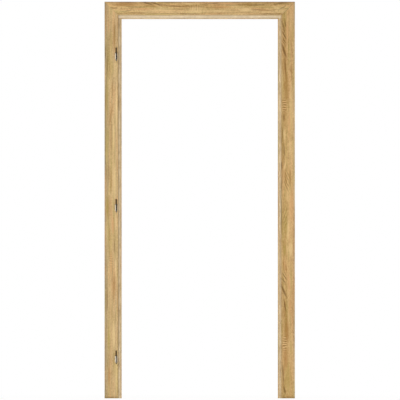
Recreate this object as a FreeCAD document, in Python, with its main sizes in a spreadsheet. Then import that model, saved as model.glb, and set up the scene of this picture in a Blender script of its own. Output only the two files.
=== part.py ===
import FreeCAD, Part

import os
import re

import Sketcher

# An adjustable timber door frame for one rebated leaf, hinged on the left.
# Frame: X to the right, Y from the front (hinge) face to the back, Z up from the floor.
# Three names run through the whole file:
#   outward  distance from the clear opening's edge into the frame, on the sides and at the head
#   depth    distance behind the front casing's visible face
#   side     -1 for the hinge side, which is at -X, and 1 for the lock side

SIZES = {
    # Clear opening and wall
    "clear_width": 811,
    "clear_height": 1968,
    "wall_thickness": 140,
    # Front casing, which forms the leaf's rebate
    "casing_width": 70,
    "casing_thickness": 22,
    "casing_arris": 4,
    "rebate_step": 18,
    # Lining boards
    "lining_thickness": 28,
    "stop_depth": 25.5,
    "lining_arris": 2,
    "rear_edge_gap": 1.5,
    # Loose tongues between casing and lining
    "spline_thickness": 4,
    "spline_depth": 8,
    "glue_gap": 0.1,
    # Rear casing and the groove it slides in
    "rear_casing_width": 70,
    "rear_casing_thickness": 16,
    "tongue_thickness": 10,
    "tongue_length": 34,
    "tongue_play": 0.25,
    "tongue_end_room": 5,
    "rear_groove_offset": 12,
    # Bulb seal on the stop face
    "seal_offset": 11.3,
    "seal_width": 12.6,
    "seal_height": 5.5,
    "seal_round": 2.5,
    "seal_base": 1.2,
    "seal_wall": 0.9,
    "seal_stem": 2,
    "seal_stem_length": 6,
    "seal_tip": 1,
    "seal_barb": 0.7,
    "seal_barb_start": 1.8,
    "seal_barb_length": 1.8,
    "seal_barb_gap": 0.3,
    "seal_groove_play": 0.1,
    "seal_groove_room": 1,
    # Corner joint of the lining: cams, bolts and dowels
    "cam_diameter": 15,
    "cam_height": 12.5,
    "cam_drop": 0.3,
    "cam_play": 0.1,
    "cam_distance": 24,
    "cam_cavity": 9,
    "cam_driver_length": 10,
    "cam_driver_width": 1.6,
    "cam_driver_depth": 2,
    "bolt_drop": 9.5,
    "bolt_thread": 7,
    "bolt_thread_length": 11,
    "bolt_tip": 1,
    "bolt_shank": 6,
    "bolt_neck": 3.8,
    "bolt_head": 6.5,
    "bolt_head_length": 4,
    "bolt_play": 0.3,
    "dowel_diameter": 8,
    "dowel_length": 40,
    "dowel_chamfer": 1,
    "dowel_play": 0.05,
    "dowel_end_room": 0.5,
    "front_joint_inset": 26,
    "rear_joint_inset": 7,
    "joint_pitch": 18,
    # Dowels across the casing's mitres
    "mitre_dowel_start": 22,
    "mitre_dowel_pitch": 26,
    # Hinges
    "bottom_hinge_height": 186,
    "top_hinge_drop": 212,
    "barrel_diameter": 15,
    "barrel_height": 34,
    "barrel_chamfer": 0.8,
    "barrel_gap": 0.75,
    "pin_diameter": 7,
    "pin_shank": 8,
    "pin_reach": 28,
    "pin_tip": 1.5,
    "pin_play": 0.05,
    "washer_thickness": 1.5,
    "lug_thickness": 4,
    "lug_inset": 1.8,
    "lug_reach": 44,
    "lug_play": 0.2,
    "slot_width": 5.5,
    "slot_below": 8,
    "slot_skin": 8,
    "pocket_steel": 2.5,
    "pocket_inset": 6.3,
    "pocket_height": 120,
    "pocket_reach": 78,
    "pocket_box_reach": 50,
    "pocket_box_room": 1,
    "recess_play": 0.3,
    "pocket_screw": 4,
    "pocket_screw_head": 7.5,
    "pocket_screw_length": 16,
    "pocket_screw_end": 11,
    "pocket_screw_depth": 42,
    "pocket_screw_pitch": 26,
    "clamp_screw": 6,
    "clamp_screw_tip": 4,
    "clamp_screw_length": 6,
    "clamp_screw_depth": 15,
    "clamp_screw_spacing": 18,
    "clamp_socket": 3,
    "clamp_socket_depth": 3,
    "clamp_access": 6.8,
    # Strike plate
    "strike_height": 1005,
    "strike_length": 170,
    "strike_width": 16,
    "strike_steel": 3,
    "strike_depth": 5,
    "strike_play": 0.2,
    "latch_height": 36,
    "latch_rise": 36,
    "bolt_height": 24,
    "bolt_fall": 32,
    "keep_width": 11,
    "keep_depth": 22,
    "keep_radius": 1,
    "keep_play": 0.5,
    "strike_screw": 4,
    "strike_screw_head": 8,
    "strike_screw_length": 30,
    "strike_screw_end": 9,
    # Corner brackets of the rear casing
    "bracket_arm": 60,
    "bracket_width": 16,
    "bracket_steel": 2,
    "bracket_play": 0.2,
    "bracket_screw": 3.5,
    "bracket_screw_head": 6,
    "bracket_screw_length": 12,
    "bracket_screw_start": 19,
    "bracket_screw_pitch": 22,
    # Screws of every size
    "screw_play": 0.05,
}

HINGE_SIDE = -1
LOCK_SIDE = 1
SIDE_NAMES = {HINGE_SIDE: "hinge_side", LOCK_SIDE: "lock_side"}
HINGES = ("bottom", "middle", "top")
SAME_POINT = 1e-6

os.makedirs("parts", exist_ok=True)
doc = FreeCAD.newDocument("door_frame")
sheet = doc.addObject("Spreadsheet::Sheet", "Sizes")
for row, (alias, size) in enumerate(SIZES.items(), start=1):
    sheet.set(f"A{row}", str(size))
    sheet.setAlias(f"A{row}", alias)
doc.recompute()

pieces = []
cuts = []


# Expressions


def bound(text):
    """The same expression, with every size it names read from the sheet."""
    return re.sub(r"[a-z][a-z_]+", lambda word: f"Sizes.{word[0]}" if word[0] in SIZES else word[0], text)


def number(text):
    """What an expression comes to with the sheet's present sizes."""
    return float(sheet.evalExpression(bound(text)))


def plus(*terms):
    return "(" + " + ".join(terms) + ")"


def minus(first, *others):
    return "(" + " - ".join((first,) + others) + ")"


def half(text):
    return f"({text} / 2)"


def x_at(side, outward):
    """X of a point that lies outward of the clear opening on one side."""
    return f"({side} * (clear_width / 2 + {outward}))"


def z_at(outward):
    """Z of a point that lies outward of the clear opening at the head."""
    return plus("clear_height", outward)


# Depths and outward places that several pieces share

FRONT_FACE = (
    "((barrel_gap + barrel_diameter - casing_thickness - wall_thickness - rear_casing_thickness) / 2)"
)
LINING_REAR = "(casing_thickness + wall_thickness - rear_edge_gap)"
CASING_OUTER = "(rebate_step + casing_width)"
SPLINE_CENTRE = "((rebate_step + lining_thickness) / 2)"
REAR_CASING_FACE = "(casing_thickness + wall_thickness)"
REAR_GROOVE_FLOOR = minus(REAR_CASING_FACE, "tongue_length", "tongue_end_room")
REAR_CASING_INNER = "(rear_groove_offset + tongue_play)"
BRACKET_LINE = plus(REAR_CASING_INNER, "(rear_casing_width + tongue_thickness) / 2")


# Sketches


def open_sketch(body, name, view, level):
    """A sketch seen from the front, the side or the top, at a depth, an X or a Z."""
    role, offset = {
        "front": ("XZ_Plane", f"-({level})"),
        "side": ("YZ_Plane", level),
        "top": ("XY_Plane", level),
    }[view]
    sketch = body.newObject("Sketcher::SketchObject", f"{body.Name}_{name}_outline")
    plane = next(item for item in body.Origin.OriginFeatures if item.Role == role)
    sketch.AttachmentSupport = (plane, "")
    sketch.MapMode = "FlatFace"
    sketch.setExpression("AttachmentOffset.Base.z", bound(offset))
    return sketch


def hold(sketch, curve, end, across, along):
    """Hold one point of a sketch at two bound distances from its origin."""
    for kind, axis, text in (("DistanceX", -2, across), ("DistanceY", -1, along)):
        place = number(text)
        if abs(place) < SAME_POINT:
            sketch.addConstraint(Sketcher.Constraint("PointOnObject", curve, end, axis))
            continue
        index = sketch.addConstraint(Sketcher.Constraint(kind, -1, 1, curve, end, place))
        sketch.setExpression(f"Constraints[{index}]", bound(text))


def toward(start, end, distance):
    """The point at a distance from start, on the level or upright way to end."""
    place = []
    for own, other in zip(start, end):
        gap = number(other) - number(own)
        if abs(gap) < SAME_POINT:
            place.append(own)
        else:
            place.append(plus(own, distance) if gap > 0 else minus(own, distance))
    return tuple(place)


def draw_outline(sketch, corners):
    """Draw a closed outline. A corner with a third value is rounded to that radius."""
    stops = []
    arcs = []
    for index, corner in enumerate(corners):
        spot = corner[:2]
        if len(corner) == 2:
            stops.append(spot)
            continue
        before = toward(spot, corners[index - 1][:2], corner[2])
        after = toward(spot, corners[(index + 1) % len(corners)][:2], corner[2])
        arcs.append((len(stops), corner[2], spot))
        stops.extend((before, after))
    points = [FreeCAD.Vector(number(across), number(along), 0) for across, along in stops]
    rounded = {start: (radius, spot) for start, radius, spot in arcs}
    held = []
    for start, point in enumerate(points):
        following = points[(start + 1) % len(points)]
        if start in rounded:
            radius, spot = rounded[start]
            corner = FreeCAD.Vector(number(spot[0]), number(spot[1]), 0)
            middle = point + following - corner
            size = number(radius)
            bulge = middle + (corner - middle).normalize() * size
            curve = sketch.addGeometry(Part.Arc(point, bulge, following), False)
            index = sketch.addConstraint(Sketcher.Constraint("Radius", curve, size))
            sketch.setExpression(f"Constraints[{index}]", bound(radius))
        elif point.distanceToPoint(following) > SAME_POINT:
            curve = sketch.addGeometry(Part.LineSegment(point, following), False)
        else:
            continue
        for end in (1, 2):
            place = sketch.getPoint(curve, end)
            twin = next((item for item in held if item[2].distanceToPoint(place) < SAME_POINT), None)
            if twin:
                sketch.addConstraint(Sketcher.Constraint("Coincident", curve, end, twin[0], twin[1]))
                continue
            stop = min(range(len(points)), key=lambda n: points[n].distanceToPoint(place))
            hold(sketch, curve, end, *stops[stop])
            held.append((curve, end, place))


def rectangle(low_across, high_across, low_along, high_along, radius=None):
    """Corners of a rectangle, rounded where a radius is given."""
    corners = [
        (low_across, low_along),
        (high_across, low_along),
        (high_across, high_along),
        (low_across, high_along),
    ]
    return corners if radius is None else [corner + (radius,) for corner in corners]


# Bodies and their features


def new_body(name):
    body = doc.addObject("PartDesign::Body", name)
    body.Label = name
    return body


def extrude(kind, body, name, view, near, far, outlines):
    """Add or remove the outlines between two levels, whichever way the view looks."""
    sketch = open_sketch(body, name, view, half(plus(near, far)))
    for outline in outlines:
        draw_outline(sketch, outline)
    feature = body.newObject(kind, f"{body.Name}_{name}")
    feature.Profile = sketch
    feature.SideType = "Symmetric"
    feature.setExpression("Length", bound(minus(far, near)))
    return feature


def pad(body, name, view, near, far, *outlines):
    extrude("PartDesign::Pad", body, name, view, near, far, outlines)


def pocket(body, name, view, near, far, *outlines):
    cuts.append(extrude("PartDesign::Pocket", body, name, view, near, far, outlines))


def drill(body, name, place, direction, diameter, length):
    """Remove a round hole that starts at a place and runs in a direction."""
    bore(body, name, place, direction, diameter, diameter, length)


def bore(body, name, place, direction, diameter, end_diameter, length):
    """Remove a round hole, tapered where its two diameters differ."""
    if diameter == end_diameter:
        hole = body.newObject("PartDesign::SubtractiveCylinder", f"{body.Name}_{name}")
        hole.setExpression("Radius", bound(half(diameter)))
    else:
        hole = body.newObject("PartDesign::SubtractiveCone", f"{body.Name}_{name}")
        hole.setExpression("Radius1", bound(half(diameter)))
        hole.setExpression("Radius2", bound(half(end_diameter)))
    hole.setExpression("Height", bound(length))
    set_place(hole, place, direction)
    cuts.append(hole)


def set_place(item, place, direction=(0, 0, 1)):
    """Bind an object's place to three expressions and turn its Z to a direction."""
    turn = FreeCAD.Rotation(FreeCAD.Vector(0, 0, 1), FreeCAD.Vector(*direction))
    item.Placement = FreeCAD.Placement(FreeCAD.Vector(), turn)
    for axis, text in zip("xyz", place):
        item.setExpression(f"Placement.Base.{axis}", bound(text))


def turned(name, outline):
    """A body turned about its own Z from half an outline of radius and height."""
    body = new_body(name)
    sketch = open_sketch(body, "turning", "front", "0")
    draw_outline(sketch, outline)
    feature = body.newObject("PartDesign::Revolution", f"{name}_turning")
    feature.Profile = sketch
    feature.ReferenceAxis = (sketch, ["V_Axis"])
    feature.Angle = 360
    return body


def finish_piece(item, place=("0", "0", "0"), direction=(0, 0, 1)):
    """Put a piece behind the front casing's face and list it for writing."""
    across, depth, height = place
    set_place(item, (across, plus(FRONT_FACE, depth), height), direction)
    pieces.append(item)


def finish_group(name, members):
    """Make one piece of several like solids that already stand in their places."""
    group = doc.addObject("Part::Compound", name)
    group.Label = name
    group.Links = members
    set_place(group, ("0", FRONT_FACE, "0"))
    pieces.append(group)


# Shapes that pieces on both sides and at the head share


def cut_side_mitre(body, side, reach, near, far):
    """Cut an upright's top end to 45 degrees, up to an outward reach."""
    pocket(body, "mitre", "front", near, far, [
        (x_at(side, "0"), z_at("0")),
        (x_at(side, reach), z_at(reach)),
        (x_at(side, "0"), z_at(reach)),
    ])


def cut_head_mitres(body, reach, near, far):
    """Cut both ends of a head piece to 45 degrees, up to an outward reach."""
    for side, name in SIDE_NAMES.items():
        pocket(body, f"mitre_{name}", "front", near, far, [
            (x_at(side, "0"), z_at("0")),
            (x_at(side, reach), z_at(reach)),
            (x_at(side, reach), z_at("0")),
        ])


def side_profile(side, points):
    """An upright's section, from points of outward and depth."""
    return [(x_at(side, point[0]),) + tuple(point[1:]) for point in points]


def head_profile(points):
    """A head piece's section, from points of outward and depth."""
    return [(point[1], z_at(point[0])) + tuple(point[2:]) for point in points]


def cut_frame_groove(body, name, side, inner, outer, near, far):
    """Cut a groove up an upright and across its corner to the head."""
    pocket(body, name, "front", near, far, [
        (x_at(side, inner), "0"),
        (x_at(side, outer), "0"),
        (x_at(side, outer), z_at(outer)),
        (x_at(side, "0"), z_at(outer)),
        (x_at(side, "0"), z_at(inner)),
        (x_at(side, inner), z_at(inner)),
    ])


def cut_head_groove(body, name, inner, outer, near, far):
    """Cut a groove along the whole head board."""
    pocket(body, name, "front", near, far, rectangle(
        x_at(HINGE_SIDE, "0"), x_at(LOCK_SIDE, "0"), z_at(inner), z_at(outer)))


# Hinge places, which the casing, the lining and the splines follow

HINGE_BASES = {
    "bottom": "bottom_hinge_height",
    "middle": "((bottom_hinge_height + clear_height - top_hinge_drop) / 2)",
    "top": "(clear_height - top_hinge_drop)",
}
LUG_CENTRE = "(lining_thickness - pocket_inset + pocket_steel + lug_play + lug_thickness / 2)"
HINGE_AXIS = plus(LUG_CENTRE, "lug_inset")
AXIS_DEPTH = "(-(barrel_gap + barrel_diameter / 2))"
SLOT_TOP = "(barrel_height + pin_reach)"
POCKET_MIDDLE = half(minus(SLOT_TOP, "slot_below"))
RECESS_HALF = "(pocket_height / 2 + recess_play)"
RECESS_INNER = "(lining_thickness - pocket_inset - recess_play)"
RECESS_OUTER = plus(LUG_CENTRE, "lug_thickness / 2", "lug_play", "pocket_steel", "recess_play")
STRIKE_HALF = "(strike_length / 2 + strike_play)"


def above_hinge(name, rise):
    """Z of a point that lies above the foot of one hinge's barrel."""
    return plus(HINGE_BASES[name], rise)


def spline_runs(side):
    """Where the loose tongue runs on one side, broken at the routed recesses."""
    breaks = []
    if side == HINGE_SIDE:
        for name in HINGES:
            middle = above_hinge(name, POCKET_MIDDLE)
            breaks.append((minus(middle, RECESS_HALF), plus(middle, RECESS_HALF)))
    else:
        breaks.append((minus("strike_height", STRIKE_HALF), plus("strike_height", STRIKE_HALF)))
    starts = ["0"] + [end for start, end in breaks]
    ends = [start for start, end in breaks] + [z_at("rebate_step")]
    return list(zip(starts, ends))


# Corner joint places, as depth, which the lining's three boards share

CAM_DEPTHS = (
    "(casing_thickness + front_joint_inset)",
    minus(REAR_GROOVE_FLOOR, "rear_joint_inset", "joint_pitch"),
)
DOWEL_DEPTHS = (
    "(casing_thickness + front_joint_inset + joint_pitch)",
    minus(REAR_GROOVE_FLOOR, "rear_joint_inset"),
)
BOLT_HEIGHT = z_at("lining_thickness - bolt_drop")
DOWEL_HEIGHT = z_at("lining_thickness / 2")
DOWEL_HOLE = "(dowel_diameter + 2 * dowel_play)"
DOWEL_HOLE_LENGTH = "(dowel_length / 2 + dowel_end_room)"

SEAL_GROOVE = (
    "(seal_offset - seal_stem / 2 - seal_barb - seal_groove_play)",
    "(seal_offset + seal_stem / 2 + seal_barb + seal_groove_play)",
    "stop_depth",
    "(stop_depth + seal_stem_length + seal_groove_room)",
)
REAR_GROOVE = (
    "rear_groove_offset",
    "(rear_groove_offset + tongue_thickness + 2 * tongue_play)",
    REAR_GROOVE_FLOOR,
    LINING_REAR,
)
SPLINE_GROOVE = (
    minus(SPLINE_CENTRE, "spline_thickness / 2", "glue_gap / 2"),
    plus(SPLINE_CENTRE, "spline_thickness / 2", "glue_gap / 2"),
)
SPLINE_FRONT = "(casing_thickness - spline_depth)"
SPLINE_BACK = "(casing_thickness + spline_depth)"


# Lining: two uprights that run past the head board, and the head board between them

LINING_SECTION = [
    ("0", "stop_depth", "lining_arris"),
    ("rebate_step", "stop_depth"),
    ("rebate_step", "casing_thickness"),
    ("lining_thickness", "casing_thickness"),
    ("lining_thickness", LINING_REAR),
    ("0", LINING_REAR, "lining_arris"),
]


def make_side_lining(side):
    body = new_body(f"lining_{SIDE_NAMES[side]}")
    pad(body, "board", "top", "0", z_at("rebate_step"), side_profile(side, LINING_SECTION))
    pad(body, "corner", "top", z_at("rebate_step"), z_at("lining_thickness"), side_profile(side, [
        ("0", "casing_thickness"),
        ("lining_thickness", "casing_thickness"),
        ("lining_thickness", LINING_REAR),
        ("0", LINING_REAR, "lining_arris"),
    ]))
    cut_frame_groove(body, "seal_groove", side, *SEAL_GROOVE)
    cut_frame_groove(body, "rear_groove", side, *REAR_GROOVE)
    for run, (foot, top) in enumerate(spline_runs(side)):
        pocket(body, f"spline_groove_{run}", "front", "casing_thickness", plus(SPLINE_BACK, "glue_gap"),
               rectangle(*[x_at(side, edge) for edge in SPLINE_GROOVE], foot, top))
    for index, depth in enumerate(CAM_DEPTHS):
        drill(body, f"bolt_hole_{index}", (x_at(side, "0"), depth, BOLT_HEIGHT), (side, 0, 0),
              "(bolt_thread + 2 * screw_play)", "(bolt_thread_length + dowel_end_room)")
    for index, depth in enumerate(DOWEL_DEPTHS):
        drill(body, f"dowel_hole_{index}", (x_at(side, "0"), depth, DOWEL_HEIGHT), (side, 0, 0),
              DOWEL_HOLE, DOWEL_HOLE_LENGTH)
    return body


def make_hinge_side_lining():
    """The hinge side's upright, routed from outside for the three hinge pockets."""
    body = make_side_lining(HINGE_SIDE)
    for name in HINGES:
        middle = above_hinge(name, POCKET_MIDDLE)
        pocket(body, f"recess_{name}", "front", "casing_thickness", "(pocket_reach + recess_play)", rectangle(
            x_at(HINGE_SIDE, RECESS_INNER), x_at(HINGE_SIDE, "lining_thickness"),
            minus(middle, RECESS_HALF), plus(middle, RECESS_HALF)))
        for index, (depth, rise) in enumerate(pocket_screw_spots()):
            drill(body, f"screw_hole_{name}_{index}",
                  (x_at(HINGE_SIDE, RECESS_INNER), depth, above_hinge(name, rise)), (1, 0, 0),
                  "(pocket_screw + 2 * screw_play)",
                  "(pocket_screw_length - pocket_steel - recess_play + screw_play)")
    finish_piece(body)


def pocket_screw_spots():
    """Depth and rise of a hinge pocket's four screws."""
    return [
        (f"(pocket_screw_depth + {column} * pocket_screw_pitch)",
         plus(POCKET_MIDDLE, f"{end} * (pocket_height / 2 - pocket_screw_end)"))
        for column in (0, 1) for end in (-1, 1)
    ]


def make_head_lining():
    body = new_body("lining_head")
    pad(body, "board", "side", x_at(HINGE_SIDE, "0"), x_at(LOCK_SIDE, "0"), head_profile(LINING_SECTION))
    cut_head_groove(body, "seal_groove", *SEAL_GROOVE)
    cut_head_groove(body, "rear_groove", *REAR_GROOVE)
    cut_head_groove(body, "spline_groove", *SPLINE_GROOVE, "casing_thickness", plus(SPLINE_BACK, "glue_gap"))
    for side, name in SIDE_NAMES.items():
        for index, depth in enumerate(CAM_DEPTHS):
            drill(body, f"cam_hole_{name}_{index}",
                  (x_at(side, "-cam_distance"), depth, z_at("lining_thickness")), (0, 0, -1),
                  "(cam_diameter + 2 * cam_play)", "(cam_height + cam_drop + dowel_end_room)")
            drill(body, f"bolt_hole_{name}_{index}", (x_at(side, "0"), depth, BOLT_HEIGHT), (-side, 0, 0),
                  "(bolt_shank + 2 * bolt_play)", "cam_distance")
        for index, depth in enumerate(DOWEL_DEPTHS):
            drill(body, f"dowel_hole_{name}_{index}", (x_at(side, "0"), depth, DOWEL_HEIGHT),
                  (-side, 0, 0), DOWEL_HOLE, DOWEL_HOLE_LENGTH)
    finish_piece(body)


make_hinge_side_lining()
finish_piece(make_side_lining(LOCK_SIDE))
make_head_lining()


# Corner joint: cams drop into the head board's top and draw the bolts in the uprights

CAM_TOP = z_at("lining_thickness - cam_drop")


def make_cam(side, index, depth):
    """A cam housing, hollow from below for the bolt's head, with a driver slot on top."""
    name = f"cam_{SIDE_NAMES[side]}_{index}"
    body = turned(name, rectangle("0", "cam_diameter / 2", "-cam_height", "0"))
    roof = "(cam_drop - bolt_drop + bolt_head / 2 + bolt_play)"
    drill(body, "cavity", ("0", "0", "-cam_height"), (0, 0, 1), "cam_cavity", plus("cam_height", roof))
    pocket(body, "neck_slot", "top", "-cam_height", roof, rectangle(
        "0", f"({side} * cam_diameter / 2)", "-(bolt_neck / 2 + bolt_play)", "(bolt_neck / 2 + bolt_play)"))
    pocket(body, "driver_slot", "top", "-cam_driver_depth", "0", rectangle(
        "-cam_driver_length / 2", "cam_driver_length / 2", "-cam_driver_width / 2", "cam_driver_width / 2"))
    set_place(body, (x_at(side, "-cam_distance"), depth, CAM_TOP))
    return body


def make_corner_bolt(side, index, depth):
    """A connecting bolt: thread in the upright, shank, neck and head in the cam."""
    head_start = "(cam_distance - bolt_head_length / 2)"
    shank_end = "(cam_distance - cam_diameter / 2 - bolt_play)"
    body = turned(f"corner_bolt_{SIDE_NAMES[side]}_{index}", [
        ("0", "-bolt_thread_length"),
        ("bolt_thread / 2 - bolt_tip", "-bolt_thread_length"),
        ("bolt_thread / 2", "bolt_tip - bolt_thread_length"),
        ("bolt_thread / 2", "0"),
        ("bolt_shank / 2", "0"),
        ("bolt_shank / 2", shank_end),
        ("bolt_neck / 2", shank_end),
        ("bolt_neck / 2", head_start),
        ("bolt_head / 2", head_start),
        ("bolt_head / 2", plus(head_start, "bolt_head_length")),
        ("0", plus(head_start, "bolt_head_length")),
    ])
    set_place(body, (x_at(side, "0"), depth, BOLT_HEIGHT), (-side, 0, 0))
    return body


def make_dowel(name, place, direction):
    """A wood dowel with chamfered ends, centred on its joint."""
    body = turned(name, [
        ("0", "-dowel_length / 2"),
        ("dowel_diameter / 2 - dowel_chamfer", "-dowel_length / 2"),
        ("dowel_diameter / 2", "dowel_chamfer - dowel_length / 2"),
        ("dowel_diameter / 2", "dowel_length / 2 - dowel_chamfer"),
        ("dowel_diameter / 2 - dowel_chamfer", "dowel_length / 2"),
        ("0", "dowel_length / 2"),
    ])
    set_place(body, place, direction)
    return body


cams = []
corner_bolts = []
corner_dowels = []
for side, side_name in SIDE_NAMES.items():
    for index, depth in enumerate(CAM_DEPTHS):
        cams.append(make_cam(side, index, depth))
        corner_bolts.append(make_corner_bolt(side, index, depth))
    for index, depth in enumerate(DOWEL_DEPTHS):
        corner_dowels.append(make_dowel(
            f"corner_dowel_{side_name}_{index}", (x_at(side, "0"), depth, DOWEL_HEIGHT), (side, 0, 0)))
finish_group("corner_cams", cams)
finish_group("corner_bolts", corner_bolts)
finish_group("corner_dowels", corner_dowels)


# Front casing: three mitred boards, glued to the lining's front edge

CASING_SECTION = [
    ("rebate_step", "0", "casing_arris"),
    (CASING_OUTER, "0", "casing_arris"),
    (CASING_OUTER, "casing_thickness"),
    ("rebate_step", "casing_thickness"),
]
MITRE_DOWELS = [
    plus("rebate_step", "mitre_dowel_start", f"{count} * mitre_dowel_pitch") for count in (0, 1)
]


def drill_mitre_dowels(body, side, into_upright):
    """Drill one casing board's holes for the dowels across its mitre."""
    sign = 1 if into_upright else -1
    for index, outward in enumerate(MITRE_DOWELS):
        drill(body, f"mitre_dowel_hole_{SIDE_NAMES[side]}_{index}",
              (x_at(side, outward), "casing_thickness / 2", z_at(outward)), (sign * side, 0, -sign),
              DOWEL_HOLE, DOWEL_HOLE_LENGTH)


def make_side_casing(side):
    body = new_body(f"front_casing_{SIDE_NAMES[side]}")
    pad(body, "board", "top", "0", z_at(CASING_OUTER), side_profile(side, CASING_SECTION))
    cut_side_mitre(body, side, CASING_OUTER, "0", "casing_thickness")
    for run, (foot, top) in enumerate(spline_runs(side)):
        pocket(body, f"spline_groove_{run}", "front", minus(SPLINE_FRONT, "glue_gap"), "casing_thickness",
               rectangle(*[x_at(side, edge) for edge in SPLINE_GROOVE], foot, top))
    drill_mitre_dowels(body, side, True)
    return body


def make_hinge_side_casing():
    """The hinge side's casing, with a slot and a rear recess at each hinge."""
    body = make_side_casing(HINGE_SIDE)
    slot_edges = (minus(LUG_CENTRE, "slot_width / 2"), plus(LUG_CENTRE, "slot_width / 2"))
    for name in HINGES:
        middle = above_hinge(name, POCKET_MIDDLE)
        pocket(body, f"recess_{name}", "front", "slot_skin", "casing_thickness", rectangle(
            x_at(HINGE_SIDE, RECESS_INNER), x_at(HINGE_SIDE, RECESS_OUTER),
            minus(middle, RECESS_HALF), plus(middle, RECESS_HALF)))
        pocket(body, f"slot_{name}", "front", "0", "slot_skin", rectangle(
            *[x_at(HINGE_SIDE, edge) for edge in slot_edges],
            above_hinge(name, "-slot_below"), above_hinge(name, SLOT_TOP), "slot_width / 2"))
        for index, rise in enumerate(CLAMP_RISES):
            drill(body, f"clamp_hole_{name}_{index}",
                  (x_at(HINGE_SIDE, "rebate_step"), "clamp_screw_depth", above_hinge(name, rise)),
                  (HINGE_SIDE, 0, 0), "clamp_access", minus(RECESS_INNER, "rebate_step"))
    finish_piece(body)


CLAMP_RISES = [f"(barrel_height / 2 + {end} * clamp_screw_spacing / 2)" for end in (-1, 1)]
KEEP_DEPTH = "(strike_depth + strike_width / 2)"
KEEPS = {
    "latch": plus("strike_height", "latch_rise"),
    "bolt": minus("strike_height", "bolt_fall"),
}


def keep_outline(name, play):
    """Outline of the latch's or the bolt's hole, seen from the side."""
    room = plus("keep_width / 2", play)
    rise = plus(f"{name}_height / 2", play)
    return rectangle(minus(KEEP_DEPTH, room), plus(KEEP_DEPTH, room),
                     minus(KEEPS[name], rise), plus(KEEPS[name], rise), "keep_radius")


def strike_outline(play):
    """Outline of the round-ended strike plate, seen from the side."""
    return rectangle(
        minus("strike_depth", play), plus("strike_depth", "strike_width", play),
        minus("strike_height", "strike_length / 2", play), plus("strike_height", "strike_length / 2", play),
        plus("strike_width / 2", play))


STRIKE_SCREW_RISES = [
    plus("strike_height", f"{end} * (strike_length / 2 - strike_screw_end)") for end in (-1, 1)
]


def make_lock_side_casing():
    """The lock side's casing, routed for the strike plate, the latch and the bolt."""
    body = make_side_casing(LOCK_SIDE)
    plate_floor = "(rebate_step + strike_steel)"
    pocket(body, "strike_recess", "side", x_at(LOCK_SIDE, "rebate_step"), x_at(LOCK_SIDE, plate_floor),
           strike_outline("strike_play"))
    for name in KEEPS:
        pocket(body, f"{name}_hole", "side", x_at(LOCK_SIDE, plate_floor),
               x_at(LOCK_SIDE, plus(plate_floor, "keep_depth")), keep_outline(name, "keep_play"))
    for index, height in enumerate(STRIKE_SCREW_RISES):
        drill(body, f"strike_screw_hole_{index}", (x_at(LOCK_SIDE, plate_floor), KEEP_DEPTH, height),
              (1, 0, 0), "(strike_screw + 2 * screw_play)", "(strike_screw_length - strike_steel + screw_play)")
    finish_piece(body)


def make_head_casing():
    body = new_body("front_casing_head")
    pad(body, "board", "side", x_at(HINGE_SIDE, CASING_OUTER), x_at(LOCK_SIDE, CASING_OUTER),
        head_profile(CASING_SECTION))
    cut_head_mitres(body, CASING_OUTER, "0", "casing_thickness")
    cut_head_groove(body, "spline_groove", *SPLINE_GROOVE, minus(SPLINE_FRONT, "glue_gap"), "casing_thickness")
    for side in SIDE_NAMES:
        drill_mitre_dowels(body, side, False)
    finish_piece(body)


make_hinge_side_casing()
make_lock_side_casing()
make_head_casing()
finish_group("mitre_dowels", [
    make_dowel(f"mitre_dowel_{side_name}_{index}",
               (x_at(side, outward), "casing_thickness / 2", z_at(outward)), (side, 0, -1))
    for side, side_name in SIDE_NAMES.items() for index, outward in enumerate(MITRE_DOWELS)
])


# Loose tongues between casing and lining

SPLINE_EDGES = (minus(SPLINE_CENTRE, "spline_thickness / 2"), plus(SPLINE_CENTRE, "spline_thickness / 2"))
for side, side_name in SIDE_NAMES.items():
    spline = new_body(f"spline_{side_name}")
    for run, (foot, top) in enumerate(spline_runs(side)):
        pad(spline, f"run_{run}", "top", foot, top,
            rectangle(*[x_at(side, edge) for edge in SPLINE_EDGES], SPLINE_FRONT, SPLINE_BACK))
    finish_piece(spline)
head_spline = new_body("spline_head")
pad(head_spline, "run", "side", x_at(HINGE_SIDE, "0"), x_at(LOCK_SIDE, "0"),
    rectangle(SPLINE_FRONT, SPLINE_BACK, *[z_at(edge) for edge in SPLINE_EDGES]))
finish_piece(head_spline)


# Rear casing: L-shaped boards whose tongue slides in the lining's rear groove

REAR_CASING_OUTER = plus(REAR_CASING_INNER, "rear_casing_width")
REAR_CASING_BACK = plus(REAR_CASING_FACE, "rear_casing_thickness")
TONGUE_FRONT = minus(REAR_CASING_FACE, "tongue_length")
TONGUE_OUTER = plus(REAR_CASING_INNER, "tongue_thickness")
REAR_CASING_SECTION = [
    (REAR_CASING_INNER, TONGUE_FRONT),
    (TONGUE_OUTER, TONGUE_FRONT),
    (TONGUE_OUTER, REAR_CASING_FACE),
    (REAR_CASING_OUTER, REAR_CASING_FACE),
    (REAR_CASING_OUTER, REAR_CASING_BACK, "casing_arris"),
    (REAR_CASING_INNER, REAR_CASING_BACK, "casing_arris"),
]
BRACKET_SCREWS = [
    minus(BRACKET_LINE, "bracket_screw_start", f"{count} * bracket_screw_pitch") for count in (0, 1)
]


def bracket_outline(side, play):
    """An L whose two arms lie along the middle of the upright and the head."""
    outer = plus(BRACKET_LINE, "bracket_width / 2", play)
    inner = minus(BRACKET_LINE, "bracket_width / 2", play)
    end = minus(BRACKET_LINE, "bracket_arm - bracket_width / 2", play)
    return [
        (x_at(side, outer), z_at(end)),
        (x_at(side, outer), z_at(outer)),
        (x_at(side, end), z_at(outer)),
        (x_at(side, end), z_at(inner)),
        (x_at(side, inner), z_at(inner)),
        (x_at(side, inner), z_at(end)),
    ]


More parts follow.
